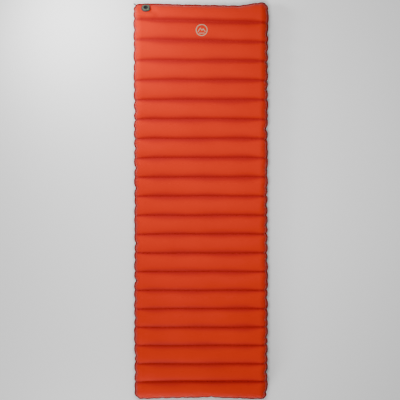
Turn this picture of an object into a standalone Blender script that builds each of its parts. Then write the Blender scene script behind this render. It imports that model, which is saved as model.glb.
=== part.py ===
"""Inflatable sleeping pad: two welded fabric sheets held apart by cross-wise fabric
baffles, with a push-fit two-stage air valve in the head-end corner.

Frame: the pad lies flat. X runs across it, +Y points to the head end, +Z is up, and the
origin is the middle of the footprint, on the ground. Valve parts are built in the
valve's own frame: w (local Z) is its axis, w = 0 is the outer face of the top sheet, and
azimuths turn from X about w.
"""

import math

import bmesh
import bpy
from mathutils import Matrix, Vector

MM = 0.001

# ---- Pad, driving dimensions -------------------------------------------------------
PAD_WIDTH = 627 * MM
PAD_LENGTH = 1860 * MM
PAD_THICKNESS = 80 * MM
TUBE_PITCH = 88.8 * MM
TUBE_COUNT = 21
BAFFLE_HEIGHT = 52 * MM
WELD_LAND = 8 * MM  # width of the strip where a baffle is welded to a sheet
BORDER = 5 * MM  # width of the flat weld round the outside
SHEET = 0.6 * MM  # laminated fabric, as modelled
BAFFLE_CLOTH = 0.5 * MM
GAP = 0.3 * MM  # between pieces that touch or are bonded
SIDE_ROLL = 26 * MM  # how far the tube ends take to curve down to the border
CORNER_RADIUS = 25 * MM
SCALLOP = 3 * MM  # how far the outline pulls in at each baffle
BAFFLE_END_CLEARANCE = 46 * MM  # air passage between a baffle's end and the side

# ---- Valve, driving dimensions -----------------------------------------------------
VALVE_TILT = math.radians(35)  # the valve leans towards the head end
VALVE_FROM_SIDE = 60.5 * MM
NECK_BORE = 13.6 * MM
NECK_RADIUS = 16.0 * MM
NECK_TOP = 3.2 * MM
NECK_BOTTOM = -10.5 * MM
WELD_DISC_RADIUS = 21.0 * MM
COLLAR_RADIUS = 21.0 * MM
COLLAR_TOP = 4.2 * MM
STAGE_RIM_RADIUS = 15.6 * MM
STAGE_TOP = 5.2 * MM
STAGE_SHOULDER = 3.6 * MM
STAGE_BOTTOM = -7.4 * MM
SPIGOT_TOP_RADIUS = 13.1 * MM
SPIGOT_TIP_RADIUS = 10.8 * MM
THROAT_RADIUS = 8.6 * MM
SEAT_RADIUS = 7.0 * MM
SEAT_TOP = -5.5 * MM
CAP_RADIUS = 14.6 * MM
CAP_BOTTOM = 5.5 * MM
CAP_TOP = 7.5 * MM
PLUG_RADIUS = 8.1 * MM
PLUG_BOTTOM = 2.4 * MM
DIMPLE_RADIUS = 5.6 * MM
DIMPLE_FLOOR = 3.6 * MM
FLAP_RADIUS = 9.0 * MM
FLAP_THICKNESS = 0.8 * MM

# ---- Joint axes, in the valve's frame ----------------------------------------------
STAGE_AZIMUTH = math.radians(45)
STAGE_HINGE = (18.5 * MM, 4.0 * MM)  # radius and w
CAP_AZIMUTH = math.radians(135)
CAP_HINGE = (17.0 * MM, 5.8 * MM)
FLAP_AZIMUTH = math.radians(225)
FLAP_HINGE = (7.2 * MM, STAGE_BOTTOM - GAP - FLAP_THICKNESS / 2)
TAB_AZIMUTH = math.radians(-45)

# ---- Worked out from the above -----------------------------------------------------
MID_HEIGHT = PAD_THICKNESS / 2
CREST = PAD_THICKNESS / 2  # outer face of a tube's crest, above the mid plane
VALLEY = BAFFLE_HEIGHT / 2
BORDER_FACE = GAP / 2 + SHEET
INNER_TUBES = TUBE_COUNT - 2
END_LENGTH = (PAD_LENGTH - INNER_TUBES * TUBE_PITCH) / 2
TURN_SEGMENTS = 36
RING_SEGMENTS = 6


# ---- Blender helpers ---------------------------------------------------------------
def clear_scene():
    for obj in list(bpy.data.objects):
        bpy.data.objects.remove(obj)


def make_material(name, colour, roughness):
    material = bpy.data.materials.new(name)
    material.use_nodes = True
    shader = material.node_tree.nodes["Principled BSDF"]
    shader.inputs["Base Color"].default_value = (*colour, 1.0)
    shader.inputs["Roughness"].default_value = roughness
    shader.inputs["Metallic"].default_value = 0.0
    material.diffuse_color = (*colour, 1.0)
    return material


def add_object(name, mesh, material, parent=None, sharp=math.radians(35)):
    """Links a mesh as a node. Its points are in the frame of parent."""
    if material:
        mesh.materials.append(material)
    mesh.shade_smooth()
    mesh.set_sharp_from_angle(angle=sharp)
    obj = bpy.data.objects.new(name, mesh)
    bpy.context.scene.collection.objects.link(obj)
    obj.parent = parent
    return obj


def add_empty(name, parent=None, location=(0, 0, 0), rotation=(0, 0, 0)):
    empty = bpy.data.objects.new(name, None)
    bpy.context.scene.collection.objects.link(empty)
    empty.parent = parent
    empty.location = location
    empty.rotation_euler = rotation
    return empty


def mesh_from(points, faces):
    mesh = bpy.data.meshes.new("shape")
    mesh.from_pydata(points, [], faces)
    mesh.validate()
    shape = bmesh.new()
    shape.from_mesh(mesh)
    bmesh.ops.recalc_face_normals(shape, faces=shape.faces)
    shape.to_mesh(mesh)
    shape.free()
    return mesh


def turned(outline, ring=True):
    """Turns (radius, w) points about w. A ring's outline closes on itself; any other
    outline starts and ends on the axis."""
    points = []
    loops = []
    for radius, w in outline:
        if radius == 0:
            loops.append([len(points)] * TURN_SEGMENTS)
            points.append((0, 0, w))
            continue
        loops.append(list(range(len(points), len(points) + TURN_SEGMENTS)))
        for step in range(TURN_SEGMENTS):
            angle = 2 * math.pi * step / TURN_SEGMENTS
            points.append((radius * math.cos(angle), radius * math.sin(angle), w))
    pairs = list(zip(loops, loops[1:]))
    if ring:
        pairs.append((loops[-1], loops[0]))
    faces = []
    for low, high in pairs:
        for step in range(TURN_SEGMENTS):
            after = (step + 1) % TURN_SEGMENTS
            corners = [low[step], low[after], high[after], high[step]]
            faces.append(list(dict.fromkeys(corners)))
    return mesh_from(points, faces)


def prism(outline, width):
    """Extrudes an outline of (x, z) points to both sides along y."""
    count = len(outline)
    points = [(x, side * width / 2, z) for side in (-1, 1) for x, z in outline]
    faces = [list(range(count)), list(range(count, 2 * count))]
    for step in range(count):
        after = (step + 1) % count
        faces.append([step, after, count + after, count + step])
    return mesh_from(points, faces)


def slab(outline, bottom, top):
    """Extrudes an outline of (x, y) points from one height to another."""
    count = len(outline)
    points = [(x, y, z) for z in (bottom, top) for x, y in outline]
    faces = [list(range(count)), list(range(count, 2 * count))]
    for step in range(count):
        after = (step + 1) % count
        faces.append([step, after, count + after, count + step])
    return mesh_from(points, faces)


def seal_ring(radius, thickness, w):
    """A round O-ring of that centreline radius at height w."""
    outline = []
    for step in range(RING_SEGMENTS):
        angle = 2 * math.pi * (step + 0.5) / RING_SEGMENTS
        across = radius + thickness / 2 * math.cos(angle)
        outline.append((across, w + thickness / 2 * math.sin(angle)))
    return turned(outline)


def hang_from(mesh, pivot_matrix):
    """Moves a mesh made in the valve's frame into the frame of a pivot."""
    mesh.transform(pivot_matrix.inverted())
    return mesh


def boolean(obj, cutter, operation):
    modifier = obj.modifiers.new(operation.lower(), "BOOLEAN")
    modifier.operation = operation
    modifier.solver = "EXACT"
    modifier.object = cutter
    cutter.hide_render = True
    cutter.display_type = "WIRE"


# ---- Sheets ------------------------------------------------------------------------
def tube_crest():
    """(distance from the middle of a tube, height) across one tube's arc, ends left out.
    The middle facet is level, so that the tube has a flat to rest on."""
    half_chord = (TUBE_PITCH - WELD_LAND) / 2
    rise = CREST - VALLEY
    radius = (half_chord**2 + rise**2) / (2 * rise)
    edge_angle = math.asin(half_chord / radius)
    level = radius * math.cos(edge_angle / 5)
    points = []
    for share in (-3 / 5, -1 / 5, 1 / 5, 3 / 5):
        angle = edge_angle * share
        points.append((radius * math.sin(angle), CREST + radius * math.cos(angle) - level))
    return points


def rounded_end():
    """(distance from the end, height) of an end tube that rolls down to the border."""
    run = 40 * MM
    points = [(0, BORDER_FACE), (BORDER, BORDER_FACE)]
    for degrees in (24, 48, 70):
        angle = math.radians(degrees)
        height = BORDER_FACE + (CREST - BORDER_FACE) * math.sin(angle)
        points.append((BORDER + run * (1 - math.cos(angle)), height))
    return points + end_tube_inner_side()


def end_tube_inner_side():
    """The rest of an end tube: its level crest and its fall to the first baffle."""
    land = END_LENGTH - WELD_LAND / 2
    return [
        (57 * MM, CREST),
        (65 * MM, CREST),
        (74.5 * MM, 35.2 * MM),
        (land, VALLEY),
    ]


FACET_FOOT = (8.5 * MM, 10.0 * MM)  # distance from the end, height above the mid plane
FACET_LENGTH = 50.0 * MM
VALVE_UP_FACET = 23.2 * MM


def facet_point(distance):
    """The point that far up the valve's facet: distance from the end, and height."""
    return (
        FACET_FOOT[0] + distance * math.cos(VALVE_TILT),
        FACET_FOOT[1] + distance * math.sin(VALVE_TILT),
    )


def valve_end():
    """The head end of the top sheet has a flat facet that carries the valve."""
    return [
        (0, BORDER_FACE),
        (BORDER, BORDER_FACE),
        FACET_FOOT,
        facet_point(FACET_LENGTH),
    ] + end_tube_inner_side()


def sheet_rows(head_end):
    """(y, height above the mid plane) of the rows of a sheet, from foot to head."""
    half = PAD_LENGTH / 2
    rows = [(-half + distance, height) for distance, height in rounded_end()]
    first = -half + END_LENGTH
    for tube in range(INNER_TUBES):
        start = first + tube * TUBE_PITCH
        middle = start + TUBE_PITCH / 2
        rows.append((start + WELD_LAND / 2, VALLEY))
        rows += [(middle + offset, height) for offset, height in tube_crest()]
        rows.append((start + TUBE_PITCH - WELD_LAND / 2, VALLEY))
    rows += [(half - distance, height) for distance, height in reversed(head_end)]
    return rows


def half_width(y):
    """Half the pad's width at y: scalloped at the baffles, rounded at the corners."""
    phase = 2 * math.pi * y / TUBE_PITCH
    inset = SCALLOP * (1 - math.cos(phase)) / 2
    to_end = PAD_LENGTH / 2 - abs(y)
    if to_end < CORNER_RADIUS:
        across = CORNER_RADIUS - to_end
        inset += CORNER_RADIUS - math.sqrt(CORNER_RADIUS**2 - across**2)
    return PAD_WIDTH / 2 - inset


def sheet_columns():
    """(inset from the side, share of the full height) from the edge to the plateau."""
    columns = [(0, 0)]
    for degrees in (0, 30, 60, 90):
        angle = math.radians(degrees)
        columns.append((BORDER + SIDE_ROLL * (1 - math.cos(angle)), math.sin(angle)))
    return columns


def make_sheet(name, material, head_end, upward):
    """One fabric sheet. Its outer face is laid out here, and the cloth goes inward."""
    left = [(-1, *column) for column in sheet_columns()]
    right = [(1, *column) for column in reversed(sheet_columns())]
    points = []
    for y, height in sheet_rows(head_end):
        for side, inset, share in left + right:
            rise = BORDER_FACE + share * (height - BORDER_FACE)
            points.append((side * (half_width(y) - inset), y, MID_HEIGHT + upward * rise))
    across = len(left) + len(right)
    faces = []
    for row in range(len(points) // across - 1):
        for column in range(across - 1):
            corner = row * across + column
            face = [corner, corner + 1, corner + across + 1, corner + across]
            faces.append(face if upward > 0 else face[::-1])
    mesh = bpy.data.meshes.new(name)
    mesh.from_pydata(points, [], faces)
    sheet = add_object(name, mesh, material)
    shell = sheet.modifiers.new("cloth", "SOLIDIFY")
    shell.thickness = SHEET
    shell.offset = -1
    shell.use_even_offset = True
    return sheet


# ---- Baffles -----------------------------------------------------------------------
def make_baffles(material):
    """Each baffle is one strip with a Z section: an upright web, a tab welded under the
    top sheet and a tab welded on the bottom sheet."""
    reach = VALLEY - SHEET - GAP
    tab = WELD_LAND / 2 - GAP
    half = BAFFLE_CLOTH / 2
    outline = [
        (-tab, -reach),
        (half, -reach),
        (half, reach - BAFFLE_CLOTH),
        (tab, reach - BAFFLE_CLOTH),
        (tab, reach),
        (-half, reach),
        (-half, -reach + BAFFLE_CLOTH),
        (-tab, -reach + BAFFLE_CLOTH),
    ]
    length = PAD_WIDTH - 2 * BAFFLE_END_CLEARANCE
    for number in range(TUBE_COUNT - 1):
        baffle = add_object(f"baffle_{number + 1:02d}", prism(outline, length), material)
        y = PAD_LENGTH / 2 - END_LENGTH - number * TUBE_PITCH
        baffle.location = (0, y, MID_HEIGHT)
        baffle.rotation_euler = (0, 0, math.radians(90))


# ---- Valve -------------------------------------------------------------------------
def valve_place():
    """The valve's centre on the outer face of the top sheet."""
    from_end, height = facet_point(VALVE_UP_FACET)
    x = -PAD_WIDTH / 2 + VALVE_FROM_SIDE
    return Vector((x, PAD_LENGTH / 2 - from_end, MID_HEIGHT + height))


def pivot_matrix(azimuth, hinge):
    """A pivot's frame within the valve: local X points outwards, Y is the joint's axis."""
    radius, w = hinge
    turn = Matrix.Rotation(azimuth, 4, "Z")
    return turn @ Matrix.Translation((radius, 0, w))


def add_pivot(name, parent, matrix):
    pivot = add_empty(name, parent)
    pivot.matrix_local = matrix
    return pivot


def spigot_radius(w):
    """Radius of the inflation stage's tapered spigot at height w."""
    share = (STAGE_SHOULDER - w) / (STAGE_SHOULDER - STAGE_BOTTOM)
    return SPIGOT_TOP_RADIUS + share * (SPIGOT_TIP_RADIUS - SPIGOT_TOP_RADIUS)


def make_valve_base(material, frame):
    """Neck and weld disc in one moulding. The disc is welded under the top sheet."""
    disc_top = -SHEET - GAP
    disc_bottom = disc_top - 1.0 * MM
    outline = [
        (NECK_BORE, NECK_TOP),
        (NECK_RADIUS, NECK_TOP),
        (NECK_RADIUS, disc_top),
        (WELD_DISC_RADIUS, disc_top),
        (WELD_DISC_RADIUS, disc_bottom),
        (NECK_RADIUS, disc_bottom),
        (NECK_RADIUS, NECK_BOTTOM),
        (NECK_BORE, NECK_BOTTOM),
    ]
    add_object("valve_base", turned(outline), material, frame)


def make_valve_collar(material, frame):
    """Ring that snaps over the neck above the fabric and anchors the stage's strap."""
    inner = NECK_RADIUS + GAP
    chamfer = 1.2 * MM
    outline = [
        (inner, COLLAR_TOP),
        (COLLAR_RADIUS - chamfer, COLLAR_TOP),
        (COLLAR_RADIUS, COLLAR_TOP - chamfer),
        (COLLAR_RADIUS, GAP),
        (inner, GAP),
    ]
    add_object("valve_collar", turned(outline), material, frame)


STAGE_GROOVE = (0.6 * MM, 2.3 * MM, 11.9 * MM)  # bottom, top and radius of the seal's groove
CAP_GROOVE = (3.2 * MM, 4.8 * MM, 7.0 * MM)
RIVET_RADIUS = 0.5 * MM
RIVET_HEAD_RADIUS = 0.9 * MM
RIVET_OFFSETS = (-2.5 * MM, 2.5 * MM)
RIVET_FROM_AXIS = 8.6 * MM
RIVET_TOP = -6.2 * MM


def stage_outline():
    groove_bottom, groove_top, groove_radius = STAGE_GROOVE
    bevel = 0.4 * MM
    return [
        (THROAT_RADIUS, STAGE_TOP),
        (STAGE_RIM_RADIUS - bevel, STAGE_TOP),
        (STAGE_RIM_RADIUS, STAGE_TOP - bevel),
        (STAGE_RIM_RADIUS, STAGE_SHOULDER),
        (SPIGOT_TOP_RADIUS, STAGE_SHOULDER),
        (spigot_radius(groove_top), groove_top),
        (groove_radius, groove_top),
        (groove_radius, groove_bottom),
        (spigot_radius(groove_bottom), groove_bottom),
        (SPIGOT_TIP_RADIUS, STAGE_BOTTOM),
        (SEAT_RADIUS, STAGE_BOTTOM),
        (SEAT_RADIUS, SEAT_TOP),
        (THROAT_RADIUS, SEAT_TOP),
    ]


def rivet_places():
    """Where the two flap rivets stand, in the valve's frame."""
    turn = Matrix.Rotation(FLAP_AZIMUTH, 3, "Z")
    return [turn @ Vector((RIVET_FROM_AXIS, along, 0)) for along in RIVET_OFFSETS]


def turned_at(place, outline):
    mesh = turned(outline, ring=False)
    mesh.transform(Matrix.Translation(place))
    return mesh


def joined(meshes):
    """One mesh that holds several separate bodies."""
    shape = bmesh.new()
    for mesh in meshes:
        shape.from_mesh(mesh)
    result = bpy.data.meshes.new("shape")
    shape.to_mesh(result)
    shape.free()
    return result


def make_inflation_stage(material, pivot, matrix):
    """Push-fit plug with the inflation throat. A cross of two bars carries the flap."""
    stage = add_object("inflation_stage", hang_from(turned(stage_outline()), matrix), material, pivot)
    bar = [
        (-SEAT_RADIUS - 0.6 * MM, STAGE_BOTTOM + 0.3 * MM),
        (SEAT_RADIUS + 0.6 * MM, STAGE_BOTTOM + 0.3 * MM),
        (SEAT_RADIUS + 0.6 * MM, SEAT_TOP - 0.3 * MM),
        (-SEAT_RADIUS - 0.6 * MM, SEAT_TOP - 0.3 * MM),
    ]
    for number, degrees in enumerate((0, 90)):
        mesh = prism(bar, 1.6 * MM)
        mesh.transform(Matrix.Rotation(math.radians(degrees), 4, "Z"))
        cross = add_object(f"cross_bar_{number}", hang_from(mesh, matrix), None, pivot)
        boolean(stage, cross, "UNION")
    hole_radius = RIVET_RADIUS + GAP
    hole = [
        (0, RIVET_TOP + GAP),
        (hole_radius, RIVET_TOP + GAP),
        (hole_radius, STAGE_BOTTOM - 2 * MM),
        (0, STAGE_BOTTOM - 2 * MM),
    ]
    holes = joined([turned_at(place, hole) for place in rivet_places()])
    cutter = add_object("rivet_holes", hang_from(holes, matrix), None, pivot)
    boolean(stage, cutter, "DIFFERENCE")


def make_check_flap(material, pivot, matrix):
    """Silicone flap under the seat. It ends at its bending line."""
    top = STAGE_BOTTOM - GAP
    bottom = top - FLAP_THICKNESS
    start = math.acos(FLAP_HINGE[0] / FLAP_RADIUS)
    steps = 26
    rim = []
    for step in range(steps + 1):
        angle = start + (2 * math.pi - 2 * start) * step / steps
        rim.append((FLAP_RADIUS * math.cos(angle), FLAP_RADIUS * math.sin(angle)))
    flap = slab(rim, bottom, top)
    flap.transform(Matrix.Rotation(FLAP_AZIMUTH, 4, "Z"))
    add_object("check_flap", hang_from(flap, matrix), material, pivot)


def make_flap_anchor(material, pivot, matrix):
    """The flap's tab beyond its bending line, riveted to the stage."""
    top = STAGE_BOTTOM - GAP
    bottom = top - FLAP_THICKNESS
    near = FLAP_HINGE[0] + 0.5 * MM
    far = near + 1.9 * MM
    side = 3.8 * MM
    tab = slab([(near, -side), (far, -side), (far, side), (near, side)], bottom, top)
    tab.transform(Matrix.Rotation(FLAP_AZIMUTH, 4, "Z"))
    anchor = add_object("flap_anchor", hang_from(tab, matrix), material, pivot)
    hole_radius = RIVET_RADIUS + 0.2 * MM
    hole = [
        (0, top + 1 * MM),
        (hole_radius, top + 1 * MM),
        (hole_radius, bottom - 1 * MM),
        (0, bottom - 1 * MM),
    ]
    holes = joined([turned_at(place, hole) for place in rivet_places()])
    cutter = add_object("anchor_holes", hang_from(holes, matrix), None, pivot)
    boolean(anchor, cutter, "DIFFERENCE")


def make_flap_rivets(material, pivot, matrix):
    """Two heat-staked rivets hold the flap's tab."""
    head_top = STAGE_BOTTOM - GAP - FLAP_THICKNESS - GAP
    head_bottom = head_top - 0.7 * MM
    outline = [
        (0, RIVET_TOP),
        (RIVET_RADIUS, RIVET_TOP),
        (RIVET_RADIUS, head_top),
        (RIVET_HEAD_RADIUS, head_top),
        (RIVET_HEAD_RADIUS, head_bottom),
        (0, head_bottom),
    ]
    for number, place in enumerate(rivet_places()):
        rivet = hang_from(turned_at(place, outline), matrix)
        add_object(f"flap_rivet_{number + 1}", rivet, material, pivot)


def make_cap(material, pivot, matrix):
    """Lid with a hollow plug under it and a pull tab at its edge."""
    groove_bottom, groove_top, groove_radius = CAP_GROOVE
    outline = [
        (0, DIMPLE_FLOOR),
        (DIMPLE_RADIUS, DIMPLE_FLOOR),
        (DIMPLE_RADIUS, CAP_TOP - 0.6 * MM),
        (DIMPLE_RADIUS + 0.6 * MM, CAP_TOP),
        (CAP_RADIUS - 0.9 * MM, CAP_TOP),
        (CAP_RADIUS, CAP_TOP - 0.8 * MM),
        (CAP_RADIUS, CAP_BOTTOM),
        (PLUG_RADIUS, CAP_BOTTOM),
        (PLUG_RADIUS, groove_top),
        (groove_radius, groove_top),
        (groove_radius, groove_bottom),
        (PLUG_RADIUS - 0.05 * MM, groove_bottom),
        (PLUG_RADIUS - 0.2 * MM, PLUG_BOTTOM),
        (0, PLUG_BOTTOM),
    ]
    cap = add_object("valve_cap", hang_from(turned(outline, ring=False), matrix), material, pivot)
    tab_start = CAP_RADIUS - 1.5 * MM
    tab_end = 21.5 * MM
    tab = prism(
        [
            (tab_start, 5.9 * MM),
            (tab_end - 0.7 * MM, 5.9 * MM),
            (tab_end, 6.4 * MM),
            (tab_end, 7.0 * MM),
            (tab_end - 0.5 * MM, 7.3 * MM),
            (tab_start, 7.3 * MM),
        ],
        9 * MM,
    )
    tab.transform(Matrix.Rotation(TAB_AZIMUTH, 4, "Z"))
    boolean(cap, add_object("tab_shape", hang_from(tab, matrix), None, pivot), "UNION")


def make_strap(name, outline, width, azimuth, matrix, material, pivot):
    """Flexible strap: an outline in the radial plane, that wide across."""
    mesh = prism(outline, width)
    mesh.transform(Matrix.Rotation(azimuth, 4, "Z"))
    add_object(name, hang_from(mesh, matrix), material, pivot)


def stage_strap_outline():
    """Runs from the stage's rim over the collar and down the collar's side."""
    inside = STAGE_RIM_RADIUS + GAP
    side = COLLAR_RADIUS + GAP
    thick = 0.8 * MM
    under = COLLAR_TOP + GAP
    return [
        (inside, under),
        (side, under),
        (side, 1.0 * MM),
        (side + thick, 1.0 * MM),
        (side + thick, under + thick / 2),
        (side + thick / 2, under + thick),
        (inside, under + thick),
    ]


def cap_strap_outline():
    """A loop from the stage's rim out and back to the edge of the cap."""
    low = COLLAR_TOP + GAP
    high = CAP_TOP - GAP
    out = 18.2 * MM
    thick = 0.7 * MM
    rim_end = STAGE_RIM_RADIUS + GAP
    cap_end = CAP_RADIUS + GAP
    return [
        (rim_end, low),
        (out - thick / 2, low),
        (out, low + thick / 2),
        (out, high - thick / 2),
        (out - thick / 2, high),
        (cap_end, high),
        (cap_end, high - thick),
        (out - thick, high - thick),
        (out - thick, low + thick),
        (rim_end, low + thick),
    ]


def make_valve(top_sheet, moulding, plastic, rubber, silicone):
    frame = add_empty("valve_frame", None, valve_place(), (-VALVE_TILT, 0, 0))
    identity = Matrix.Identity(4)
    stage_matrix = pivot_matrix(STAGE_AZIMUTH, STAGE_HINGE)
    cap_matrix = pivot_matrix(CAP_AZIMUTH, CAP_HINGE)
    flap_matrix = pivot_matrix(FLAP_AZIMUTH, FLAP_HINGE)
    stage_pivot = add_pivot("stage_pivot", frame, stage_matrix)
    cap_pivot = add_pivot("cap_pivot", stage_pivot, stage_matrix.inverted() @ cap_matrix)
    flap_pivot = add_pivot("flap_pivot", stage_pivot, stage_matrix.inverted() @ flap_matrix)

    opening = NECK_RADIUS + GAP
    hole = turned([(0, 6 * MM), (opening, 6 * MM), (opening, -6 * MM), (0, -6 * MM)], ring=False)
    boolean(top_sheet, add_object("sheet_hole", hole, None, frame), "DIFFERENCE")

    make_valve_base(moulding, frame)
    make_valve_collar(plastic, frame)
    make_inflation_stage(moulding, stage_pivot, stage_matrix)
    seal_w = (STAGE_GROOVE[0] + STAGE_GROOVE[1]) / 2
    seal = hang_from(seal_ring(12.75 * MM, 1.1 * MM, seal_w), stage_matrix)
    add_object("stage_seal", seal, rubber, stage_pivot)
    make_check_flap(silicone, flap_pivot, flap_matrix)
    make_flap_anchor(silicone, stage_pivot, stage_matrix)
    make_flap_rivets(plastic, stage_pivot, stage_matrix)
    make_cap(plastic, cap_pivot, cap_matrix)
    seal_w = (CAP_GROOVE[0] + CAP_GROOVE[1]) / 2
    seal = hang_from(seal_ring(7.8 * MM, 1.0 * MM, seal_w), cap_matrix)
    add_object("cap_seal", seal, rubber, cap_pivot)
    make_strap(
        "stage_strap", stage_strap_outline(), 8 * MM, STAGE_AZIMUTH, identity, moulding, frame
    )
    make_strap(
        "cap_strap", cap_strap_outline(), 7 * MM, CAP_AZIMUTH, stage_matrix, moulding, stage_pivot
    )


def main():
    clear_scene()
    face_cloth = make_material("face_cloth", (0.72, 0.075, 0.018), 0.55)
    base_cloth = make_material("base_cloth", (0.07, 0.06, 0.058), 0.65)
    baffle_cloth = make_material("baffle_cloth", (0.55, 0.55, 0.55), 0.6)
    moulding = make_material("valve_moulding", (0.20, 0.19, 0.175), 0.5)
    plastic = make_material("valve_plastic", (0.09, 0.085, 0.085), 0.45)
    rubber = make_material("seal_rubber", (0.02, 0.02, 0.02), 0.6)
    silicone = make_material("flap_silicone", (0.6, 0.6, 0.58), 0.4)
    top_sheet = make_sheet("top_sheet", face_cloth, valve_end(), 1)
    make_sheet("bottom_sheet", base_cloth, rounded_end(), -1)
    make_baffles(baffle_cloth)
    make_valve(top_sheet, moulding, plastic, rubber, silicone)


main()
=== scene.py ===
"""Looks of the inflatable sleeping pad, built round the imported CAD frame.

The two fabric sheets are one simulated cloth bag, blown up round its baffles and split
into an upper and a lower piece. Lengths are in metres in the row's frame: +Y is the head
end and +Z is up. Valve pieces are made in the valve's own frame, whose w axis is local Z.
"""

import math

import bmesh
import bpy
import numpy as np
from mathutils import Matrix, Vector
from mathutils.bvhtree import BVHTree


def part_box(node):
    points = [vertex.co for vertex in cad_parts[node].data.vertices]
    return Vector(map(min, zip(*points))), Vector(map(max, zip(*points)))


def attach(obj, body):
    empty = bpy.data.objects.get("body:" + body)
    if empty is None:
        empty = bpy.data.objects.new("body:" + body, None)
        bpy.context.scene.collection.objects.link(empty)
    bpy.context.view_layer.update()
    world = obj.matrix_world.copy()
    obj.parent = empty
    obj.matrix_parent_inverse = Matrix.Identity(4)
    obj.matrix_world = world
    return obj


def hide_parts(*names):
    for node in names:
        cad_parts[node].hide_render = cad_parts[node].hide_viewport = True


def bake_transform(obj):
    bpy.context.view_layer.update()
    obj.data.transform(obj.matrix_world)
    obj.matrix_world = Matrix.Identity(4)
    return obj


MM = 0.001

# The CAD part's driving dimensions that the cloth follows.
WIDTH = 627 * MM
LENGTH = 1860 * MM
MID_HEIGHT = 40 * MM
TUBES = 21
PITCH = 88.8 * MM
BAFFLE_HALF = 25.6 * MM
FLANGE = 6 * MM
VALVE_TILT = math.radians(35)
STAGE_AZIMUTH = math.radians(45)
CAP_AZIMUTH = math.radians(135)
TAB_AZIMUTH = math.radians(-45)

# The cloth bag.
WELD_X = WIDTH / 2 - FLANGE
WELD_Y = LENGTH / 2 - FLANGE
FIRST_SEAM = 9.5 * PITCH  # the seam nearest to the head end
HOLE_STEP = 5.4 * MM
HOLE_RINGS = 3
CREST_START = 37.5 * MM
SCALLOP_DEPTH = 9.5 * MM
LEAN_START = 0.6  # y where the seams start to lean
BORDER_GAP = 0.25 * MM  # from the mid plane to each sheet along the outer weld
TAB_REACH = 273 * MM  # from the middle to the end of a baffle's tabs
WEB_STOP = 8 * MM  # from the side weld to the nearest web of the simulation
HELD_REACH = 21.9 * MM  # the cloth held on the valve's plane, from its axis
FRAMES = 16
PRESSURE = 4.0
SEED = 7

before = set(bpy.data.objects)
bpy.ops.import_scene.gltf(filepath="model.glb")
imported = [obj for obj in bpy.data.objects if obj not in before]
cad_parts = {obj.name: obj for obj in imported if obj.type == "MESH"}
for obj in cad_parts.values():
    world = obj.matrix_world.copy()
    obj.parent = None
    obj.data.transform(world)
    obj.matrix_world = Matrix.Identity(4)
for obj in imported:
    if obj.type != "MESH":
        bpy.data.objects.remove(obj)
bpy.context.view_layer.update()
rng = np.random.default_rng(SEED)


# ---- Places ------------------------------------------------------------------------
def valve_matrix():
    """The valve's frame: its x read off the valve base, which is a ring round its axis, its y and
    z from valve_yz, and its tilt from VALVE_TILT.
    """
    low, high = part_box("valve_base")
    turn = Matrix.Rotation(-VALVE_TILT, 4, "X")
    return Matrix.Translation(((low[0] + high[0]) / 2, *valve_yz())) @ turn


def valve_yz():
    """(y, z) of the valve's centre, 23.2 mm up a 35 degree facet from its foot."""
    from_end = 8.5 * MM + 23.2 * MM * math.cos(VALVE_TILT)
    height = 10.0 * MM + 23.2 * MM * math.sin(VALVE_TILT)
    return LENGTH / 2 - from_end, MID_HEIGHT + height


VALVE = valve_matrix()
VALVE_AT = np.array(VALVE.translation)


# ---- Cloth bag: where its threads start ---------------------------------------------
def smooth(value):
    value = np.clip(value, 0, 1)
    return value * value * (3 - 2 * value)


def side_insets():
    """Distances from the side weld to the middle, close together round the valve."""
    valve = (WELD_X + VALVE_AT[0]) / MM
    near = [0, 4.5, 9.5, 15, 21, 27, 33]
    around = [valve + HOLE_STEP / MM * k for k in range(-HOLE_RINGS, HOLE_RINGS + 1)]
    insets = near + around + [78, 86]
    rest = WELD_X / MM - insets[-1]
    count = round(rest / 9.6)
    insets += [insets[-1] + rest * (k + 1) / count for k in range(count)]
    return np.array(insets) * MM


def end_insets():
    """Distances from the end weld to the first seam."""
    middle = (WELD_Y - valve_yz()[0]) / MM
    step = HOLE_STEP / MM * math.cos(VALVE_TILT)
    around = [middle + step * k for k in range(-HOLE_RINGS, HOLE_RINGS + 1)]
    seam = (WELD_Y - FIRST_SEAM) / MM
    rest = [around[-1] + (seam - 3.5 - around[-1]) * (k + 1) / 5 for k in range(5)]
    return np.array([0, 4.0] + around + rest + [seam]) * MM


def grid_lines():
    insets = side_insets()
    xs = np.concatenate([-WELD_X + insets, (WELD_X - insets[:-1])[::-1]])
    ends = end_insets()
    across = np.array([3.5, 9.5, 17, 26, 35, 44.4, 53.8, 62.8, 71.8, 79.3, 85.3, 88.8]) * MM
    ys = [-WELD_Y + ends]
    seams = [len(ends) - 1]
    for tube in range(TUBES - 2):
        ys.append(-FIRST_SEAM + tube * PITCH + across)
        seams.append(seams[-1] + len(across))
    ys.append((WELD_Y - ends[:-1])[::-1])
    return xs, np.concatenate(ys), seams


def notches(along, half_length, shift):
    """How far the weld is drawn in at each place along an edge: two bumps to a tube, of
    uneven length and depth, with sharp notches between them."""
    count = int(2 * half_length / (PITCH / 2)) + 3
    marks = (np.arange(count) - count // 2) * PITCH / 2 + shift
    marks = marks + rng.uniform(-7, 7, count) * MM
    depths = rng.uniform(0.45, 1.15, count) * SCALLOP_DEPTH
    depths[::2] *= 1.15
    draw = np.zeros_like(along)
    for mark, depth in zip(marks, depths):
        draw = np.maximum(draw, depth * np.exp(-np.abs(along - mark) / (8.5 * MM)))
    return draw


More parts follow.
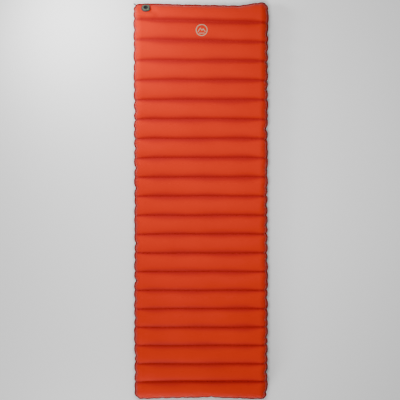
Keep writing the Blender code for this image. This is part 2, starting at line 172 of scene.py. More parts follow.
def tube_height(ys):
    """Height of the cloth above the mid plane along the pad, before it's blown up."""
    inner = np.abs(ys) < FIRST_SEAM
    phase = np.mod(ys + FIRST_SEAM, PITCH) / PITCH
    arch = BAFFLE_HALF + (CREST_START - BAFFLE_HALF) * np.sin(np.pi * phase) ** 0.8
    to_end = WELD_Y - np.abs(ys)
    share = np.clip(to_end / (40 * MM), 0, 1)
    roll = CREST_START * np.sqrt(1 - (1 - share) ** 2)
    span = WELD_Y - FIRST_SEAM
    fall = np.clip((to_end - 44 * MM) / (span - 44 * MM), 0, 1)
    end = roll - (CREST_START - BAFFLE_HALF) * (1 - np.sqrt(1 - fall**2))
    return np.where(inner, arch, end)


def side_share(xs):
    inset = WELD_X - np.abs(xs)
    share = np.clip(inset / (36 * MM), 0, 1)
    return np.sqrt(1 - (1 - share) ** 2)


def head_bow(x):
    """How far the head end's weld is drawn in: least beside the valve and at the far
    corner, most to the right of the middle."""
    left = 2 * MM * smooth((x + 0.27) / 0.2)
    dip = 1 * MM * np.exp(-(((x - 0.12) / 0.08) ** 2))
    return left + dip - 12 * MM * smooth((x - 0.17) / 0.12)


def splay(y):
    """How much wider each side is towards the foot end."""
    return 4 * MM * smooth((0.1 - y) / 0.7)


def side_draw(xs, ys):
    """How far each point is drawn in from its side: the notches, less the splay."""
    grid_x, grid_y = np.meshgrid(xs, ys)
    at_side = np.clip(1 - (WELD_X - np.abs(grid_x)) / (30 * MM), 0, 1) ** 1.5
    left = notches(ys, WELD_Y, 0)[:, None]
    right = notches(ys, WELD_Y, 0)[:, None]
    draw = np.where(grid_x < 0, left, right) * at_side
    return draw - np.abs(grid_x) / WELD_X * splay(grid_y)


def end_pull(xs, ys):
    """How far each point is drawn in from its end: shallower notches, and a bow."""
    grid_x, grid_y = np.meshgrid(xs, ys)
    at_end = np.clip(1 - (WELD_Y - np.abs(grid_y)) / (26 * MM), 0, 1) ** 1.5
    head = notches(xs, WELD_X, 0)[None, :] * 0.35
    foot = notches(xs, WELD_X, 0)[None, :] * 0.35
    pull = np.where(grid_y > 0, head, foot) * at_end
    foot_bow = 1 * MM * (1 - (grid_x / WELD_X) ** 2)
    bow = np.where(grid_y > 0, head_bow(grid_x), foot_bow)
    return pull + bow * smooth(1 - (WELD_Y - np.abs(grid_y)) / (70 * MM))


def seam_shift(x, y):
    """How far the seams lie from their even places, towards the head end: the tubes are
    widest there and narrowest at the foot end, and the seams near the head lean."""
    to_weld = smooth((WELD_Y - np.abs(y)) / (WELD_Y - FIRST_SEAM))
    drift = 5 * MM * (2 * (y / FIRST_SEAM) ** 2 - 1)
    lean = 7 * MM * x / WELD_X * smooth((y - LEAN_START) / (FIRST_SEAM - LEAN_START))
    return (drift - lean) * to_weld


def waver(x, y):
    """The seams' small unevenness, which fades out at the end welds."""
    to_weld = smooth((WELD_Y - np.abs(y)) / (WELD_Y - FIRST_SEAM))
    return 1.4 * MM * np.sin(13 * x + 27 * y) * np.cos(7 * x - 9 * y) * to_weld


def start_shape():
    """The bag's grid before it's blown up: its points' x, y and height over the mid
    plane, their x and y on the flat cut, and the rows that are seams."""
    xs, ys, seams = grid_lines()
    flat_x, flat_y = np.meshgrid(xs, ys)
    height = side_share(flat_x) * tube_height(flat_y)
    draw, pull = side_draw(xs, ys), end_pull(xs, ys)
    x, y = round_corners(flat_x, flat_y)
    x = x - np.sign(flat_x) * draw
    y = y - np.sign(flat_y) * pull + seam_shift(flat_x, flat_y) + waver(x, flat_y)
    return x, y, height, flat_x, flat_y, seams


def round_corners(x, y):
    """Draws the square corners in to a radius, more so the nearer to the corner."""
    radius = 30 * MM
    over_x = np.clip(np.abs(x) - (WELD_X - radius), 0, None) / radius
    over_y = np.clip(np.abs(y) - (WELD_Y - radius), 0, None) / radius
    reach = np.maximum(over_x, over_y)
    length = np.hypot(over_x, over_y)
    shrink = np.where(length > 0, reach / np.maximum(length, 1e-9), 1)
    new_x = np.sign(x) * (np.abs(x) - over_x * radius * (1 - shrink))
    new_y = np.sign(y) * (np.abs(y) - over_y * radius * (1 - shrink))
    return new_x, new_y


def seat_valve(x, y, z, flat_x, flat_y):
    """Lays the upper sheet onto the valve's plane round the valve, and turns the grid's
    squares there into circles, so that one of them is the hole. z is in world height."""
    along = (flat_y - VALVE_AT[1]) / math.cos(VALVE_TILT)
    across = flat_x - VALVE_AT[0]
    square = np.maximum(np.abs(across), np.abs(along))
    circle = np.hypot(across, along)
    shrink = np.where(circle > 0, square / np.maximum(circle, 1e-9), 1)
    keep = smooth((square - 17 * MM) / (14 * MM))
    shrink = shrink + (1 - shrink) * keep
    across, along = across * shrink, along * shrink
    plane = VALVE_AT[2] - along * math.sin(VALVE_TILT)
    blend = smooth((square - 22 * MM) / (36 * MM))
    new_x = (VALVE_AT[0] + across) * (1 - blend) + x * blend
    new_y = (VALVE_AT[1] + along * math.cos(VALVE_TILT)) * (1 - blend) + y * blend
    new_z = plane * (1 - blend) + z * blend
    return new_x, new_y, new_z, square


# ---- Cloth bag: blowing it up --------------------------------------------------------
def make_bag():
    """Returns the bag's mesh object, the numbers of its points on each sheet, the rows
    that are seams, and how far each point is from the valve's axis."""
    x, y, height, flat_x, flat_y, seams = start_shape()
    top = seat_valve(x, y, MID_HEIGHT + height, flat_x, flat_y)
    rows, columns = x.shape
    upper = np.stack([part.ravel() for part in top[:3]], 1)
    lower = np.stack([x.ravel(), y.ravel(), (MID_HEIGHT - height).ravel()], 1)
    border = np.zeros((rows, columns), bool)
    border[[0, -1], :] = True
    border[:, [0, -1]] = True
    upper_index = np.arange(rows * columns).reshape(rows, columns)
    lower_index = upper_index.copy()
    inner = ~border
    lower_index[inner] = rows * columns + np.arange(inner.sum())
    points = np.concatenate([upper, lower[inner.ravel()]])
    points[upper_index[border], 2] = MID_HEIGHT + rng.uniform(-1, 1, border.sum()) * MM
    faces = quads(upper_index, False) + quads(lower_index, True)
    webs = []
    xs = flat_x[0]
    for row in seams:
        for column in np.flatnonzero(np.abs(xs) < WELD_X - WEB_STOP):
            webs.append((int(upper_index[row, column]), int(lower_index[row, column])))
    mesh = bpy.data.meshes.new("bag")
    mesh.from_pydata(points.tolist(), webs, faces)
    bag = bpy.data.objects.new("bag", mesh)
    bpy.context.scene.collection.objects.link(bag)
    square = top[3]
    held = upper_index[square < HELD_REACH]
    group = bag.vertex_groups.new(name="held")
    group.add([int(i) for i in held.ravel()], 1.0, "REPLACE")
    return bag, upper_index, lower_index, seams, square


def quads(index, flip):
    a, b = index[:-1, :-1], index[:-1, 1:]
    c, d = index[1:, 1:], index[1:, :-1]
    order = (a, d, c, b) if flip else (a, b, c, d)
    return np.stack([part.ravel() for part in order], 1).tolist()


def blow_up(bag):
    """Runs the cloth simulation and returns the bag's points."""
    modifier = bag.modifiers.new("cloth", "CLOTH")
    cloth = modifier.settings
    cloth.quality = 5
    cloth.mass = 0.2
    cloth.tension_stiffness = 40
    cloth.compression_stiffness = 40
    cloth.shear_stiffness = 15
    cloth.bending_stiffness = 0.05
    cloth.tension_damping = 10
    cloth.compression_damping = 10
    cloth.shear_damping = 10
    cloth.air_damping = 2
    cloth.use_pressure = True
    cloth.uniform_pressure_force = PRESSURE
    cloth.vertex_group_mass = "held"
    cloth.pin_stiffness = 50
    cloth.effector_weights.gravity = 0
    modifier.collision_settings.use_collision = False
    modifier.collision_settings.use_self_collision = False
    modifier.point_cache.frame_start = 1
    modifier.point_cache.frame_end = FRAMES
    scene = bpy.context.scene
    for number in range(1, FRAMES + 1):
        scene.frame_set(number)
    graph = bpy.context.evaluated_depsgraph_get()
    blown = bag.evaluated_get(graph).data
    points = np.empty(len(blown.vertices) * 3)
    blown.vertices.foreach_get("co", points)
    bag.modifiers.remove(modifier)
    scene.frame_set(1)
    return points.reshape(-1, 3)


# ---- Cloth bag: the two sheets -------------------------------------------------------
def link_mesh(name, points, faces):
    mesh = bpy.data.meshes.new(name)
    mesh.from_pydata([tuple(map(float, point)) for point in points], [], faces)
    mesh.update()
    piece = bpy.data.objects.new(name, mesh)
    bpy.context.scene.collection.objects.link(piece)
    mesh.shade_smooth()
    return piece


def add_values(piece, name, values):
    """Stores one number or one vector for each point, for the materials to read."""
    kind, key = ("FLOAT", "value") if values.ndim == 1 else ("FLOAT_VECTOR", "vector")
    layer = piece.data.attributes.new(name, kind, "POINT")
    layer.data.foreach_set(key, values.astype(np.float32).ravel())


def border_loop(index):
    """Numbers of a grid's border points in order, anticlockwise seen from above."""
    return np.concatenate([index[0, :-1], index[:-1, -1], index[-1, :0:-1], index[:0:-1, 0]])


def outward(loop_points):
    """Level unit vectors that point out of a closed anticlockwise loop."""
    run = np.roll(loop_points, -2, 0) - np.roll(loop_points, 2, 0)
    out = np.stack([run[:, 1], -run[:, 0], np.zeros(len(run))], 1)
    return out / np.linalg.norm(out, axis=1)[:, None]


def flatten_seams(points, index, seams, xs):
    """Lays the cloth flat where a baffle's tab is welded to it."""
    inside = np.abs(xs) < TAB_REACH
    for row in seams:
        level = points[index[row, inside], 2]
        for side in (-1, 1):
            beside = index[row + side, inside]
            points[beside, 2] += 0.7 * (level - points[beside, 2])


def sheet_piece(name, points, index, flip, sign, reach, faces_kept, cut):
    """One sheet with its part of the outer weld, which reaches that far outwards."""
    loop = border_loop(index)
    edge = points[loop]
    out = outward(edge)
    ripple = 0.5 * MM * np.sin(np.cumsum(rng.uniform(0.2, 0.9, len(loop))))
    rings = []
    for share in (0.4, 1.0):
        ring = edge + out * reach * share
        ring[:, 2] += ripple * share + sign * BORDER_GAP
        rings.append(ring)
    used = index.ravel()
    renumber = np.full(len(points), -1)
    renumber[used] = np.arange(len(used))
    body = points[used].copy()
    body[renumber[loop], 2] += sign * BORDER_GAP
    faces = [[int(renumber[i]) for i in face] for face in faces_kept]
    count = len(loop)
    last = renumber[loop]
    for number in range(len(rings)):
        ring_index = len(used) + number * count + np.arange(count)
        for k in range(count):
            n = (k + 1) % count
            face = [int(last[k]), int(ring_index[k]), int(ring_index[n]), int(last[n])]
            faces.append(face[::-1] if flip else face)
        last = ring_index
    piece = link_mesh(name, np.concatenate([body, *rings]), faces)
    flat = np.concatenate([cut["flat"], cut["flat"][renumber[loop]], cut["flat"][renumber[loop]]])
    flat[len(used):, :2] += np.concatenate([out, out])[:, :2] * reach
    add_values(piece, "cut", flat)
    # Painted crease shade and weld lines on the sheet, none on the flange rings.
    weld = np.concatenate([cut["weld"], np.zeros(2 * count)])
    add_values(piece, "weld", weld)
    rim = np.concatenate([np.zeros(len(used)), np.full(2 * count, 1.0)])
    rim[renumber[loop]] = 0.5
    add_values(piece, "rim", rim)
    edge_pull = np.concatenate([cut["pucker"], np.zeros(2 * count)])
    add_values(piece, "pucker", edge_pull)
    return piece


def cut_values(xs, ys, seams):
    """What the materials know of each grid point: its place on the flat cut, how much
    painted crease shade it gets beside the seams and along the outer weld, a mask that
    also marks the weld lines, and how near to the edge, where the cloth puckers. The
    painted crease shade at the seams is widest in the middle and tapers to the sides."""
    grid_x, grid_y = np.meshgrid(xs, ys)
    to_seam = np.min(np.abs(grid_y[..., None] - ys[seams]), -1)
    inwards = smooth((WELD_X - np.abs(grid_x)) / (110 * MM))
    uneven = np.sin(19 * grid_x + 31 * grid_y) * np.cos(11 * grid_x - 23 * grid_y)
    reach = (5.5 + 8.5 * inwards * (1 + 0.4 * uneven)) * MM
    to_edge = np.minimum(WELD_X - np.abs(grid_x), WELD_Y - np.abs(grid_y))
    # Painted shade in the creases beside the seams and along the outer weld, which also stands
    # for the weld lines.
    at_seam = np.exp(-((to_seam / reach) ** 2))
    at_edge = np.exp(-((to_edge / (8 * MM)) ** 2))
    weld = np.maximum(at_seam, at_edge)
    pucker = smooth(1 - to_edge / (70 * MM))
    flat = np.stack([grid_x.ravel(), grid_y.ravel(), np.zeros(grid_x.size)], 1)
    return {"flat": flat, "weld": weld.ravel(), "pucker": pucker.ravel()}


def subdivide(piece):
    modifier = piece.modifiers.new("subdivide", "SUBSURF")
    modifier.levels = modifier.render_levels = 1
    modifier.boundary_smooth = "ALL"
    graph = bpy.context.evaluated_depsgraph_get()
    mesh = bpy.data.meshes.new_from_object(piece.evaluated_get(graph))
    old = piece.data
    piece.modifiers.clear()
    piece.data = mesh
    bpy.data.meshes.remove(old)
    mesh.name = piece.name


def make_sheets():
    bag, upper, lower, seams, square = make_bag()
    points = blow_up(bag)
    xs, ys, _ = grid_lines()
    bpy.data.objects.remove(bag)
    flatten_seams(points, upper, seams, xs)
    flatten_seams(points, lower, seams, xs)
    points[:, 2] = np.maximum(points[:, 2], 0.3 * MM)
    cut = cut_values(xs, ys, seams)
    hole = square <= HOLE_STEP * HOLE_RINGS + 0.1 * MM
    in_hole = set(upper[hole].tolist())
    upper_faces = [face for face in quads(upper, False) if not in_hole.issuperset(face)]
    top = sheet_piece("top_fabric", points, upper, False, 1, 5.0 * MM, upper_faces, cut)
    base = sheet_piece("base_fabric", points, lower, True, -1, 4.7 * MM, quads(lower, True), cut)
    baffles = make_baffles(points, upper, lower, seams, xs)
    for piece in (top, base):
        subdivide(piece)
    drop_loose(top)
    return top, base, baffles


def drop_loose(piece):
    """Removes the points that the hole's faces left behind."""
    shape = bmesh.new()
    shape.from_mesh(piece.data)
    bmesh.ops.delete(shape, geom=[v for v in shape.verts if not v.link_faces], context="VERTS")
    shape.to_mesh(piece.data)
    shape.free()


def make_baffles(points, upper, lower, seams, xs):
    """A cloth strip down each seam: a tab under the upper sheet, a web that bows a
    little, and a tab on the lower sheet."""
    columns = np.flatnonzero(np.abs(xs) < TAB_REACH)
    pieces = []
    for number, row in enumerate(seams):
        high, low = points[upper[row, columns]], points[lower[row, columns]]
        lines = [points[lower[row - 1, columns]] + [0, 0, 0.5 * MM]]
        for step in range(7):
            share = step / 6
            line = low * (1 - share) + high * share
            line[:, 1] += 1.2 * MM * math.sin(math.pi * share) * (-1) ** number
            line[:, 2] += 0.5 * MM * (1 - 2 * share)
            lines.append(line)
        lines.append(points[upper[row + 1, columns]] - [0, 0, 0.5 * MM])
        index = np.arange(len(lines) * len(columns)).reshape(len(lines), -1)
        name = f"baffle_cloth_{len(seams) - number:02d}"
        pieces.append(link_mesh(name, np.concatenate(lines), quads(index, False)))
    return pieces


# ---- Materials -----------------------------------------------------------------------
WAVES_PER_UNIT = 3.18  # of Blender's wave texture at a scale of 1
WEAVE_PITCH = 0.7 * MM


class Nodes:
    """Short names for adding nodes to one material."""

    def __init__(self, name):
        self.material = bpy.data.materials.new(name)
        self.material.use_nodes = True
        self.tree = self.material.node_tree
        self.shader = self.tree.nodes["Principled BSDF"]

    def add(self, kind, **settings):
        node = self.tree.nodes.new("ShaderNode" + kind)
        for key, value in settings.items():
            setattr(node, key, value)
        return node

    def link(self, output, socket):
        self.tree.links.new(output, socket)

    def math(self, operation, first, second):
        node = self.add("Math", operation=operation)
        for socket, value in zip(node.inputs, (first, second)):
            if isinstance(value, (int, float)):
                socket.default_value = value
            else:
                self.link(value, socket)
        return node.outputs[0]

    def mix(self, factor, first, second):
        node = self.add("MixRGB")
        for socket, value in zip(node.inputs, (factor, first, second)):
            if isinstance(value, tuple):
                socket.default_value = (*value, 1)
            elif isinstance(value, (int, float)):
                socket.default_value = value
            else:
                self.link(value, socket)
        return node.outputs[0]

    def noise(self, coordinates, scale, detail=3, roughness=0.5):
        node = self.add("TexNoise")
        node.inputs["Scale"].default_value = scale
        node.inputs["Detail"].default_value = detail
        node.inputs["Roughness"].default_value = roughness
        self.link(coordinates, node.inputs["Vector"])
        return node.outputs["Fac"]

    def attribute(self, name, output):
        return self.add("Attribute", attribute_name=name).outputs[output]

    def span(self, value, low, high, start=0.0, end=1.0):
        node = self.add("MapRange")
        self.link(value, node.inputs["Value"])
        keys = ("From Min", "From Max", "To Min", "To Max")
        for key, number in zip(keys, (low, high, start, end)):
            node.inputs[key].default_value = number
        return node.outputs[0]

    def threads(self, coordinates, direction, pitch):
        node = self.add("TexWave", wave_type="BANDS", bands_direction=direction)
        node.inputs["Scale"].default_value = 1 / pitch / WAVES_PER_UNIT
        node.inputs["Distortion"].default_value = 0.25
        node.inputs["Detail"].default_value = 1
        self.link(coordinates, node.inputs["Vector"])
        return node.outputs["Fac"]

    def bump(self, height, distance, strength=1.0, before=None):
        node = self.add("Bump")
        node.inputs["Strength"].default_value = strength
        node.inputs["Distance"].default_value = distance
        self.link(height, node.inputs["Height"])
        if before:
            self.link(before, node.inputs["Normal"])
        return node.outputs["Normal"]


def cloth_material(name, colour, weld_colour, rim_colour, sheen, sheen_colour):
    """Coated plain weave: crossed threads, soft shade changes, fine creases that get
    deeper near the edge, pressed, slightly glossier weld lines, and painted shade that
    darkens the cloth in the creases beside the seams and along the outer weld."""
    make = Nodes(name)
    place = make.attribute("cut", "Vector")
    warp, weft = (make.threads(place, direction, WEAVE_PITCH) for direction in "XY")
    weave = make.math("MULTIPLY", warp, weft)
    broad = make.noise(place, 5, 3)
    fine = make.noise(place, 900, 2)
    shade = make.mix(make.span(broad, 0.3, 0.7, 0, 0.55), colour, tuple(c * 0.86 for c in colour))
    shade = make.mix(make.span(weave, 0, 1, 0.12, 0), shade, tuple(c * 0.55 for c in colour))
    weld = make.attribute("weld", "Fac")
    # Painted crease shade: darkens the cloth towards the weld colour beside the seams and along
    # the outer weld, which also gives the weld lines their tone.
    shade = make.mix(make.math("MULTIPLY", weld, 0.68), shade, weld_colour)
    rim = make.attribute("rim", "Fac")
    shade = make.mix(make.math("MULTIPLY", rim, 0.9), shade, rim_colour)
    make.link(shade, make.shader.inputs["Base Color"])
    rough = make.span(make.math("ADD", broad, fine), 0.6, 1.4, 0.5, 0.66)
    rough = make.math("SUBTRACT", rough, make.math("MULTIPLY", weld, 0.12))
    make.link(rough, make.shader.inputs["Roughness"])
    make.shader.inputs["Sheen Weight"].default_value = sheen
    make.shader.inputs["Sheen Roughness"].default_value = 0.45
    make.shader.inputs["Sheen Tint"].default_value = (*sheen_colour, 1)
    make.shader.inputs["Specular IOR Level"].default_value = 0.16
    make.shader.inputs["Specular Tint"].default_value = (*sheen_colour, 1)
    stretched = make.add("Mapping")
    stretched.inputs["Scale"].default_value = (14, 70, 1)
    make.link(place, stretched.inputs["Vector"])
    creases = make.noise(stretched.outputs[0], 1, 3, 0.55)
    pucker = make.attribute("pucker", "Fac")
    depth = make.math("MULTIPLY", creases, make.span(pucker, 0, 1, 0.12, 1))
    normal = make.bump(depth, 2.6 * MM, 0.9)
    soft = make.noise(place, 26, 2)
    normal = make.bump(soft, 1.0 * MM, 0.5, normal)
    normal = make.bump(weave, 0.08 * MM, 0.7, normal)
    make.link(normal, make.shader.inputs["Normal"])
    return make.material


def film_cloth_material():
    """Uncoloured baffle cloth: faint threads on a milky film."""
    make = Nodes("baffle_cloth_look")
    place = make.add("TexCoord").outputs["Object"]
    warp, weft = (make.threads(place, direction, 1.2 * MM) for direction in "XZ")
    threads = make.math("ADD", warp, weft)
    blotch = make.noise(place, 30, 3)
    shade = make.mix(make.span(blotch, 0.3, 0.7), (0.52, 0.52, 0.5), (0.6, 0.6, 0.58))
    make.link(shade, make.shader.inputs["Base Color"])
    make.link(make.span(threads, 0, 2, 0.5, 0.7), make.shader.inputs["Roughness"])
    make.link(make.bump(threads, 0.08 * MM, 0.6), make.shader.inputs["Normal"])
    return make.material


def plastic_material(name, colour, roughness, grain=0.12, dimple_shade=None):
    """Moulded plastic or rubber: a fine spark-eroded grain, slight clouding in the
    colour, and sharp convex edges a little paler. The optional last colour is painted
    shade laid over a cap's dimple and the middle round it."""
    make = Nodes(name)
    place = make.add("TexCoord").outputs["Object"]
    cloudy = make.noise(place, 120, 3)
    grainy = make.noise(place, 2600, 2)
    # Sharply convex edges, found by pointiness, are mixed a little paler.
    sharp_edge_paling = make.span(make.add("NewGeometry").outputs["Pointiness"], 0.52, 0.62, 0, 0.35)
    darker = tuple(c * 0.7 for c in colour)
    paler = tuple(min(1, c * 1.7 + 0.02) for c in colour)
    shade = make.mix(make.span(cloudy, 0.35, 0.65, 0, 0.45), colour, darker)
    shade = make.mix(sharp_edge_paling, shade, paler)
    if dimple_shade:
        # Painted shade: a near-black disc over the cap's dimple and middle.
        shade = make.mix(make.attribute("dimple_shade", "Fac"), shade, dimple_shade)
    make.link(shade, make.shader.inputs["Base Color"])
    make.shader.inputs["Specular IOR Level"].default_value = 0.25
    rough = make.span(grainy, 0.3, 0.7, roughness - 0.06, roughness + 0.08)
    make.link(rough, make.shader.inputs["Roughness"])
    make.link(make.bump(grainy, grain * MM, 0.5), make.shader.inputs["Normal"])
    return make.material


def print_material(name, colour):
    """Matt screen print that lets the weave show through."""
    make = Nodes(name)
    place = make.add("TexCoord").outputs["Object"]
    warp, weft = (make.threads(place, direction, WEAVE_PITCH) for direction in "XY")
    weave = make.math("MULTIPLY", warp, weft)
    speckle = make.noise(place, 700, 3)
    darker = tuple(c * 0.72 for c in colour)
    shade = make.mix(make.span(speckle, 0.35, 0.65, 0, 0.6), colour, darker)
    make.link(shade, make.shader.inputs["Base Color"])
    make.link(make.span(speckle, 0.3, 0.7, 0.55, 0.75), make.shader.inputs["Roughness"])
    make.link(make.bump(weave, 0.08 * MM, 0.6), make.shader.inputs["Normal"])
    return make.material


def dress(piece, material):
    piece.data.materials.clear()
    piece.data.materials.append(material)


# ---- Badge ---------------------------------------------------------------------------
def ribbon(line, width, closed, tree, points, faces):
    """Adds a strip of print of that width along a line of (x, y) points, on the cloth."""
    line = np.array(line, float)
    count = len(line)
    if closed:
        run = np.roll(line, -1, 0) - np.roll(line, 1, 0)
    else:
        run = np.gradient(line, axis=0)
    run /= np.linalg.norm(run, axis=1)[:, None]
    side = np.stack([-run[:, 1], run[:, 0]], 1) * width / 2
    start = len(points)
    for point, offset in zip(line, side):
        for share in (-1, 0, 1):
            x, y = point + offset * share
            hit = tree.ray_cast(Vector((x, y, 0.2)), Vector((0, 0, -1)))[0]
            points.append((x, y, hit.z + 0.3 * MM))
    for k in range(count if closed else count - 1):
        n = (k + 1) % count
        for lane in (0, 1):
            a, b = start + 3 * k + lane, start + 3 * n + lane
            faces.append((a, b, b + 1, a + 1))


def along_line(corners, step=1.5 * MM):
    points = []
    for first, second in zip(corners, corners[1:]):
        first, second = np.array(first), np.array(second)
        count = max(2, int(np.linalg.norm(second - first) / step))
        points += [first + (second - first) * k / count for k in range(count)]
    return points + [np.array(corners[-1])]


def make_badge(top):
    """A plain ring round a line of hills: a generic mark in place of the maker's."""
    centre = np.array((0.003, 9 * PITCH + 0.004))
    tree = BVHTree.FromObject(top, bpy.context.evaluated_depsgraph_get())
    points, faces = [], []
    turns = np.linspace(0, 2 * math.pi, 96, endpoint=False)
    ring = centre + 25 * MM * np.stack([np.cos(turns), np.sin(turns)], 1)
    ribbon(ring, 4.2 * MM, True, tree, points, faces)
    hills = [(-17, -8), (-6, 9), (1, -2), (7, 6), (17, -8)]
    ground = [(-13, -14), (13, -14)]
    for corners, width in ((hills, 3.8 * MM), (ground, 3.4 * MM)):
        line = along_line([centre + np.array(corner) * MM for corner in corners])
        ribbon(line, width, False, tree, points, faces)
    return link_mesh("badge_print", points, faces)


# ---- Valve ---------------------------------------------------------------------------
def lathe(outline, ring=True, segments=96, wave=None):
    """Points and faces of (radius, w) in mm turned about w. wave(angle) may move radii."""
    points, loops = [], []
    for radius, w in outline:
        if radius == 0:
            loops.append([len(points)] * segments)
            points.append((0, 0, w * MM))
            continue
        loops.append(list(range(len(points), len(points) + segments)))
        for step in range(segments):
            angle = 2 * math.pi * step / segments
            r = (radius + (wave(angle, radius, w) if wave else 0)) * MM
            points.append((r * math.cos(angle), r * math.sin(angle), w * MM))
    pairs = list(zip(loops, loops[1:])) + ([(loops[-1], loops[0])] if ring else [])
    faces = []
    for low, high in pairs:
        for step in range(segments):
            n = (step + 1) % segments
            corners = [low[step], low[n], high[n], high[step]]
            faces.append(list(dict.fromkeys(corners)))
    return points, faces


def sweep(outline, width, azimuth):
    """Points and faces of (radius, w) in mm extruded to both sides, at an azimuth."""
    count = len(outline)
    turn = Matrix.Rotation(azimuth, 3, "Z")
    points = []
    for share in (-0.5, -0.42, 0, 0.42, 0.5):
        inset = 0.12 if abs(share) == 0.5 else 0
        middle = np.mean(np.array(outline), axis=0)
        for x, w in outline:
            x, w = x + (middle[0] - x) * inset * 0.15, w + (middle[1] - w) * inset * 0.15
            points.append(tuple(turn @ Vector((x * MM, share * width * MM, w * MM))))
    faces = [list(range(count)), list(range(4 * count, 5 * count))]
    for lane in range(4):
        for step in range(count):
            n = (step + 1) % count
            a, b = lane * count, (lane + 1) * count
            faces.append([a + step, a + n, b + n, b + step])
    return points, faces


def valve_piece(name, parts, sharp=40):
    """Makes one object of several (points, faces) in the valve's frame."""
    points, faces = [], []
    for part_points, part_faces in parts:
        start = len(points)
        points += [tuple(VALVE @ Vector(point)) for point in part_points]
        faces += [[start + i for i in face] for face in part_faces]
    piece = link_mesh(name, points, faces)
    shape = bmesh.new()
    shape.from_mesh(piece.data)
    bmesh.ops.recalc_face_normals(shape, faces=shape.faces)
    shape.to_mesh(piece.data)
    shape.free()
    piece.data.set_sharp_from_angle(angle=math.radians(sharp))
    return piece


def make_neck():
    outline = [(13.6, 2.9), (13.9, 3.2), (15.7, 3.2), (16.0, 2.9), (16.0, -0.9), (20.6, -0.9)]
    outline += [(21.0, -1.3), (20.6, -1.9), (16.6, -1.9), (16.0, -2.6), (16.0, -10.1)]
    outline += [(15.6, -10.5), (14.0, -10.5), (13.6, -10.1)]
    return valve_piece("valve_neck", [lathe(outline)])


def make_collar():
    def grip(angle, radius, w):
        return -0.35 * (0.5 + 0.5 * math.cos(48 * angle)) ** 3 if radius > 20 and w < 3.4 else 0

    outline = [(16.3, 3.9), (16.6, 4.2), (19.3, 4.2), (19.9, 4.0), (20.6, 3.3), (20.95, 2.6)]
    outline += [(20.95, 0.7), (20.6, 0.3), (16.6, 0.3), (16.3, 0.6)]
    return valve_piece("valve_collar_ring", [lathe(outline, segments=288, wave=grip)])


def make_stage():
    """Rim, throat, seal groove, seat and the cross that keeps the flap from lifting."""
    outline = [(8.6, 4.8), (9.0, 5.2), (14.9, 5.2), (15.4, 5.0), (15.6, 4.6), (15.6, 3.9)]
    outline += [(15.3, 3.6), (13.1, 3.6), (12.84, 2.3), (11.9, 2.3), (11.9, 0.6), (12.46, 0.6)]
    outline += [(11.0, -7.0), (10.7, -7.4), (7.3, -7.4), (7.0, -7.1), (7.0, -5.8), (7.3, -5.5)]
    outline += [(8.6, -5.5)]
    bar = [(-7.3, -7.1), (7.3, -7.1), (7.3, -6.0), (-7.3, -6.0)]
    parts = [lathe(outline)]
    parts += [sweep(bar, 1.6, 0), sweep([(r, w - 0.02) for r, w in bar], 1.6, math.pi / 2)]
    return valve_piece("stage_body", parts)


def make_cap():
    """Lid with a raised rim round a dimple, a hollow plug below, and a ribbed pull tab."""
    outline = [(0, 3.6), (5.0, 3.6), (5.5, 4.0), (5.6, 6.9), (6.1, 7.4), (6.8, 7.5), (10.2, 7.5)]
    outline += [(10.5, 7.2), (11.1, 7.2), (11.4, 7.5), (13.6, 7.5), (14.3, 7.3), (14.6, 6.8)]
    outline += [(14.6, 5.8), (14.3, 5.5), (8.1, 5.5), (8.1, 4.8), (7.0, 4.8), (7.0, 3.2)]
    outline += [(8.05, 3.2), (7.9, 2.6), (7.6, 2.4), (0, 2.4)]
    tab = [(13.2, 5.9), (20.8, 5.9), (21.3, 6.2), (21.5, 6.6), (21.3, 7.1), (20.8, 7.3)]
    tab += [(20.4, 7.3), (20.2, 7.0), (19.6, 7.0), (19.4, 7.3), (19.0, 7.3), (18.8, 7.0)]
    tab += [(18.2, 7.0), (18.0, 7.3), (17.6, 7.3), (17.4, 7.0), (16.8, 7.0), (16.6, 7.3)]
    tab += [(13.2, 7.3)]
    cap = valve_piece("cap_body", [lathe(outline, ring=False), sweep(tab, 9, TAB_AZIMUTH)])
    back = VALVE.inverted()
    radii = np.array([(back @ vertex.co).to_2d().length for vertex in cap.data.vertices])
    # Marks the cap's middle, out to 10.3 mm, for the painted dimple shade.
    add_values(cap, "dimple_shade", (radii < 10.3 * MM).astype(float))
    return cap


def make_stage_tether():
    """Flat strap, moulded on the collar's side, that holds the stage when it's pulled."""
    outline = [(15.8, 4.5), (17, 4.5), (18, 4.5), (19, 4.5), (20, 4.5), (20.8, 4.5), (21.2, 4.1)]
    outline += [(21.3, 3.0), (21.3, 1.4), (21.5, 1.0), (21.9, 1.0), (22.1, 1.4), (22.1, 3.0)]
    outline += [(22.0, 4.6), (21.5, 5.1), (20.8, 5.3), (20, 5.3), (19, 5.3), (18, 5.3), (17, 5.3)]
    outline += [(15.8, 5.3)]
    return valve_piece("stage_tether", [sweep(outline, 8, STAGE_AZIMUTH)])


def make_cap_tether():
    """Thin loop from the stage's rim out and back to the cap's edge."""
    outline = [(15.5, 4.5), (17.0, 4.5), (17.7, 4.6), (18.1, 4.95), (18.2, 5.4), (18.2, 6.3)]
    outline += [(18.1, 6.75), (17.7, 7.1), (17.0, 7.2), (14.6, 7.2), (14.6, 6.5), (16.8, 6.5)]
    outline += [(17.3, 6.4), (17.5, 6.1), (17.5, 5.6), (17.3, 5.3), (16.8, 5.2), (15.5, 5.2)]
    return valve_piece("cap_tether", [sweep(outline, 7, CAP_AZIMUTH)])


